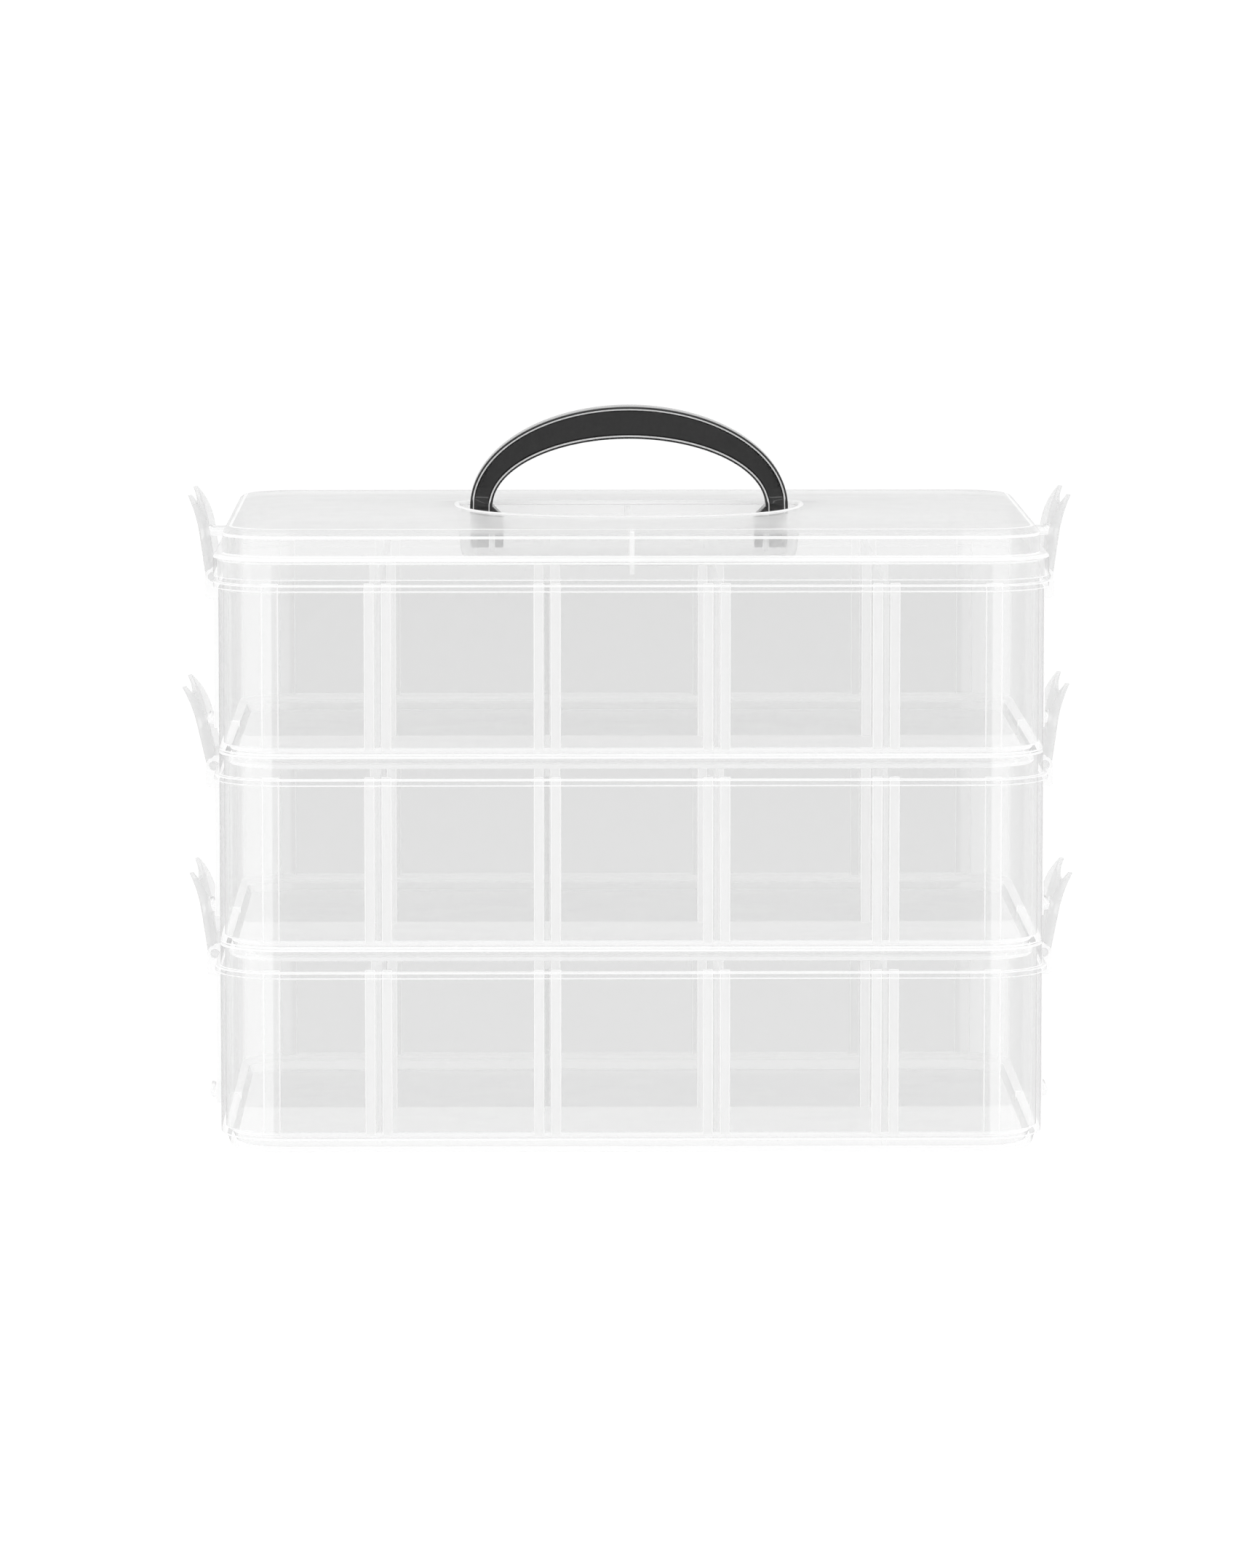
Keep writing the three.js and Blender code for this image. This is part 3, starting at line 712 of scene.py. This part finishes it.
def lid_outside():
    """The skirt, the ledge and the lid's side as (inset, height), and the arc that rounds its top edge."""
    arc_z = LID_TOP - ROUND_OVER
    side = rounded([
        (-SKIRT["inner"], SKIRT["bottom"], 0),
        (SKIRT["inner"], SKIRT["bottom"], 0.3),
        (-SKIRT["out"], SKIRT["bottom"], 0.35),
        (-SKIRT["out"], LEDGE_TOP - LEDGE_CHAMFER, 0.35),
        (LEDGE_CHAMFER - SKIRT["out"], LEDGE_TOP, 0.3),
        (LID_INSET, LEDGE_TOP, 0.5),
        (LID_INSET, arc_z, 0.4),
    ])
    arc = []
    for step in range(1, ROUND_STEPS):
        turn = step / ROUND_STEPS * math.pi / 2
        arc.append((LID_INSET + ROUND_OVER * (1 - math.cos(turn)), arc_z + ROUND_OVER * math.sin(turn)))
    return side[1:], arc


def lid_inside():
    """The lid's inner side as rings, from under its top down to the skirt's bottom."""
    inset = LID_INSET + LID_WALL
    arc_z = LID_TOP - ROUND_OVER
    profile = rounded([
        (inset, arc_z, 0),
        (inset, LEDGE_UNDER, 0.4),
        (SKIRT["inner"], LEDGE_UNDER, 0.3),
        (SKIRT["inner"], SKIRT["bottom"], 0),
    ])
    return [lid_outline(inset + 0.5, arc_z + 1)] + [lid_outline(ring_inset, z) for ring_inset, z in profile]


def lid_shell(bm):
    side, arc = lid_outside()
    profile = side + arc
    top_inset = LID_INSET + ROUND_OVER
    outer = [lid_outline(inset, z) for inset, z in profile] + lid_top_levels(top_inset, 0)
    inner = list(reversed(lid_top_levels(top_inset, LID_WALL))) + lid_inside()
    rim_level = len(profile) + TOP_SPANS

    def look(level):
        if level in (len(side) - 1, len(profile) - 1):
            return PAINTED_EDGE_HIGHLIGHT
        if level < len(side) - 1:
            below_ledge = profile[level][1] < LEDGE_TOP
            # below the ledge the lid's side takes the lighter copy of the wall: painted light, with painted
            # shade along its silhouettes
            return profile_look(profile, level, PAINTED_LIGHT_AND_SHADE_LOOK if below_ledge else WALL_LOOK)
        return PAINTED_EDGE_HIGHLIGHT if rim_level <= level < rim_level + len(RIM_STEPS) else WALL_LOOK

    skin(bm, outer, cap_first=False, look=look)
    skin(bm, inner, cap_last=False)
    bmesh.ops.remove_doubles(bm, verts=bm.verts[:], dist=0.01)
    bmesh.ops.recalc_face_normals(bm, faces=bm.faces[:])


def ear_reach(turn):
    """How far the ear goes out from its hole at each angle: round above, straight sides down to the floor."""
    c, s = math.cos(turn), math.sin(turn)
    if s >= 0:
        return EAR["radius"]
    limits = [(PIVOT_Z - RECESS_FLOOR + ROOT) / -s]
    if abs(c) > 1e-6:
        limits.append(EAR["radius"] / abs(c))
    return min(limits)


def lid_catch(bm, side):
    """The lid's catch for a top latch, on three small ribs that stand on the ledge."""
    hinge_z = HINGE_Z + 2 * PITCH
    root = TRAY_X - LID_INSET - LID_WALL / 2
    catch(bm, side, root, hinge_z)
    x = sorted((side * root, side * (TRAY_X + 0.6)))
    z = (LEDGE_TOP - 0.4, hinge_z + CATCH["bottom"] + ROOT)
    for place in (-1, 0, 1):
        y = place * (CATCH["half"] - CATCH_RIB_HALF)
        block(bm, x, (y - CATCH_RIB_HALF, y + CATCH_RIB_HALF), z, 0.2)


def make_lid(looks):
    bm = bmesh.new()
    lid_shell(bm)
    for side in (-1, 1):
        eye(bm, "x", sorted((side * EAR["from"], side * EAR["to"])), (0, PIVOT_Z), EAR["hole"], ear_reach)
        lid_catch(bm, side)
    for web in (FRONT_WEB, BACK_WEB):
        y, z = (web["from"], web["to"]), (web["bottom"], WEB_TOP)
        # the webs take the edge finish, a painted highlight
        block(bm, (-WEB_HALF, WEB_HALF), y, z, 0.2, PAINTED_EDGE_HIGHLIGHT)
    make_piece("lid_moulding", bm, "lid", ["lid"], looks)


# ---- handle ----

def arch_section(width, recess):
    """The handle's closed section as (outward, across) points: a rim on each edge round a sunk web."""
    half, rim = SECTION["half"], SECTION["rim"]
    web = rim + SECTION["slope"]
    corners = [
        (0, -half, 0.55),
        (0, half, 0.55),
        (rim, half, 0.4),
        (web, half - recess, 0.25),
        (width - web, half - recess, 0.25),
        (width - rim, half, 0.4),
        (width, half, 0.55),
        (width, -half, 0.55),
        (width - rim, -half, 0.4),
        (width - web, recess - half, 0.25),
        (web, recess - half, 0.25),
        (rim, -half, 0.4),
    ]
    return rounded([corners[-1]] + corners + [corners[0]])[1:-1]


def arch_stations():
    """Points of the arch's inner and outer curves from one foot to the other, with a straight end at each."""
    steps = ARCH["steps"]
    turns = [step / steps * math.pi for step in range(steps + 1)]
    stations = []
    for x, z in ((ARCH["inner_x"], ARCH["inner_z"]), (ARCH["outer_x"], ARCH["outer_z"])):
        curve = [Vector((x * math.cos(turn), 0, ARCH["z"] + z * math.sin(turn))) for turn in turns]
        stations.append([Vector((x, 0, ARCH_END_Z))] + curve + [Vector((-x, 0, ARCH_END_Z))])
    return zip(*stations)


def arch_levels():
    least_recess = 0.02
    levels = []
    for inner, outer in arch_stations():
        away = outer - inner
        sunk = min(1.0, max(0.0, (inner.z - RECESS_FROM) / RECESS_FADE))
        section = arch_section(away.length, SECTION["recess"] * sunk + least_recess)
        away.normalize()
        levels.append([tuple(inner + away * out + Vector((0, across, 0))) for out, across in section])
    return levels


def foot_outline(top, steps=24):
    """A foot plate seen along X: straight sides from its top, and a half circle round the pin."""
    radius = FOOT["radius"]
    points = [(radius, top), (-radius, top)]
    for step in range(steps + 1):
        turn = math.pi + step / steps * math.pi
        points.append((radius * math.cos(turn), PIVOT_Z + radius * math.sin(turn)))
    return points


def add_foot(bm, side):
    """The handle's foot: two plates round the lid's ear, with a bridge over it and the pin through it."""
    def across(a, b):
        return sorted((side * a, side * b))

    arch_z, half = ARCH["z"], FOOT["radius"]
    inner, inner_to, outer_from, outer = FOOT["inner"], FOOT["inner_to"], FOOT["outer_from"], FOOT["outer"]
    prism(bm, foot_outline(arch_z), "x", across(outer_from, outer), 0.5, SOLID_LOOK)
    prism(bm, foot_outline(PIVOT_Z + 0.5), "x", across(inner, inner_to), 0.4, SOLID_LOOK)
    slope = [(inner, PIVOT_Z), (inner_to, PIVOT_Z), (inner_to, SLOPE_HIGH), (inner, SLOPE_LOW)]
    prism(bm, [(side * x, z) for x, z in slope], "y", (-half, half), 0.3, SOLID_LOOK)
    near, far = inner_to - ROOT, outer_from + 0.4
    bridge = [(near, 182.6), (far, 182.6), (far, arch_z), (near + 0.9, arch_z), (near, SLOPE_HIGH - ROOT)]
    prism(bm, [(side * x, z) for x, z in bridge], "y", (0.1 - half, half - 0.1), 0.1, SOLID_LOOK)
    bar(bm, "x", PIN_RADIUS, across(inner_to - 0.4, far), (0, PIVOT_Z), look=SOLID_LOOK)


def make_handle(looks):
    """The arch, with a highlight painted in light grey along the inner edges of its rims, and its two feet.
    """
    bm = bmesh.new()
    levels = arch_levels()
    skin(bm, levels)
    bm.faces.ensure_lookup_table()
    sides = len(levels[0])
    for index, face in enumerate(bm.faces[: sides * (len(levels) - 1)]):
        corner, step = divmod(index % sides, CORNER_POINTS)
        # these rim faces take the light grey that paints a highlight
        if corner in RIM_CORNERS and step < CORNER_POINTS - 1:
            face.material_index = PAINTED_RIM_HIGHLIGHT
    bmesh.ops.recalc_face_normals(bm, faces=bm.faces[:])
    for side in (-1, 1):
        add_foot(bm, side)
    make_piece("handle_moulding", bm, "handle", ["handle"], looks)


# ---- carried-over CAD nodes ----

def finish_node(name, look, painted_edge_look, width):
    """A CAD node keeps its shape and gets its plastic, and rounded edges with a look of their own: a painted
    highlight on the dividers, painted dark lines on the latches.
    """
    node = NODES[name]
    bevel = node.modifiers.new("rounded edges", "BEVEL")
    bevel.width = width * MM
    bevel.segments = 2
    bevel.limit_method = "ANGLE"
    bevel.angle_limit = math.radians(40)
    bevel.harden_normals = True
    for slot in node.material_slots:
        slot.material = look
    bevel.material = len(node.material_slots)
    node.data.materials.append(painted_edge_look)


# ---- stage ----

def add_floor():
    mesh = bpy.data.meshes.new("studio_floor")
    half = 6.0
    corners = [(-half, -half, 0), (half, -half, 0), (half, half, 0), (-half, half, 0)]
    mesh.from_pydata(corners, [], [(0, 1, 2, 3)])
    floor = bpy.data.objects.new("studio_floor", mesh)
    floor.location.z = CAD_BOX[0].z - 0.0002
    SCENE.collection.objects.link(floor)
    material, nodes, links = new_material("studio_floor")
    out = add_node(nodes, "ShaderNodeOutputMaterial")
    paint = add_node(nodes, "ShaderNodeBsdfDiffuse")
    set_grey(paint.inputs["Color"], 0.93)
    links.new(paint.outputs[0], out.inputs["Surface"])
    mesh.materials.append(material)


def add_world():
    world = bpy.data.worlds.new("studio")
    SCENE.world = world
    world.use_nodes = True
    sky = world.node_tree.nodes["Background"]
    set_grey(sky.inputs["Color"], 1.0)
    sky.inputs["Strength"].default_value = 1.12


def area_light(name, place, target, size, power):
    data = bpy.data.lights.new(name, "AREA")
    data.shape = "RECTANGLE"
    data.size, data.size_y = size
    data.energy = power
    lamp = bpy.data.objects.new(name, data)
    lamp.location = place
    lamp.rotation_euler = (Vector(target) - Vector(place)).to_track_quat("-Z", "Y").to_euler()
    lamp.visible_camera = False
    SCENE.collection.objects.link(lamp)


def add_strips():
    """Narrow soft boxes above and on both sides, for thin highlights along the edges."""
    target = (0, 0, 0.15)
    area_light("strip_above", (0, -0.8, 1.8), target, (1.6, 0.12), 2.2)
    area_light("strip_left", (-1.6, -0.9, 0.6), target, (0.12, 1.4), 2.2)
    area_light("strip_right", (1.6, -0.9, 0.6), target, (0.12, 1.4), 1.6)


def add_camera():
    data = bpy.data.cameras.new("camera")
    camera = bpy.data.objects.new("camera", data)
    SCENE.collection.objects.link(camera)
    data.sensor_width = 36.0
    data.lens = 175.0
    camera.location = (-0.0274, -2.2885, 0.3599)
    target = Vector((-0.0004, 0.0, 0.1006))
    camera.rotation_euler = (target - camera.location).to_track_quat("-Z", "Y").to_euler()
    SCENE.camera = camera


# ---- scene ----

clear_wall = clear_plastic("clear_wall", tint=0.938, milk=0.02, grazing=0.75, haze=0.86)
clear_thick = clear_plastic("clear_thick", tint=1.0, milk=0.65, grazing=0.85, haze=0.85, painted_edge_shade=0.8)
# the edge finish: a milky near-white that paints the highlights along bends, lips and rounded edges
clear_painted_highlight = clear_plastic("clear_painted_highlight", tint=1.0, milk=0.9, grazing=0.95, haze=0.89, painted_edge_shade=0.88)
# a lighter copy of the wall for the corners, the foot, the strips and the skirt: painted light, with painted
# shade along its silhouettes
clear_painted_light_and_shade = clear_plastic(
    "clear_painted_light_and_shade", tint=0.99, milk=0.14, grazing=0.7, haze=0.88, painted_edge_shade=0.1, edge_power=7.0
)
clear_floor = clear_plastic(
    "clear_floor", tint=0.97, milk=0.08, grazing=0.95, haze=0.86, painted_edge_shade=0.82, gloss=0.4
)
clear_lid = clear_plastic(
    "clear_lid", tint=0.985, milk=0.22, grazing=0.68, haze=0.75, painted_edge_shade=0.6, gloss=0.25
)
clear_latch = clear_plastic(
    "clear_latch", tint=0.94, milk=0.34, grazing=0.8, haze=0.74, painted_edge_shade=0.5, gloss=0.3
)
# the latches' rounded edges: a darker copy that paints dark lines along them
latch_painted_edge_shade = clear_plastic("latch_painted_edge_shade", tint=0.6, milk=0.2, grazing=0.4, haze=0.5, painted_edge_shade=0.3, gloss=0.3)
charcoal = charcoal_plastic("charcoal", 0.004, 0.011)
# a light grey copy of the charcoal that paints a highlight along the handle's rims
charcoal_painted_highlight = charcoal_plastic("charcoal_painted_highlight", 0.4, 0.65)

make_trays([clear_wall, clear_thick, clear_painted_highlight, clear_painted_light_and_shade, clear_floor])
make_lid([clear_lid, clear_thick, clear_painted_highlight, clear_painted_light_and_shade, clear_floor])
make_handle([charcoal, charcoal_painted_highlight])
for node_name in sorted(NODES):
    if node_name.startswith("divider"):
        finish_node(node_name, clear_floor, clear_painted_highlight, 0.2)
    if node_name.startswith("latch"):
        finish_node(node_name, clear_latch, latch_painted_edge_shade, 0.25)
add_floor()
add_world()
add_strips()
add_camera()
SCENE.view_settings.view_transform = "Standard"
SCENE.cycles.transparent_max_bounces = 64
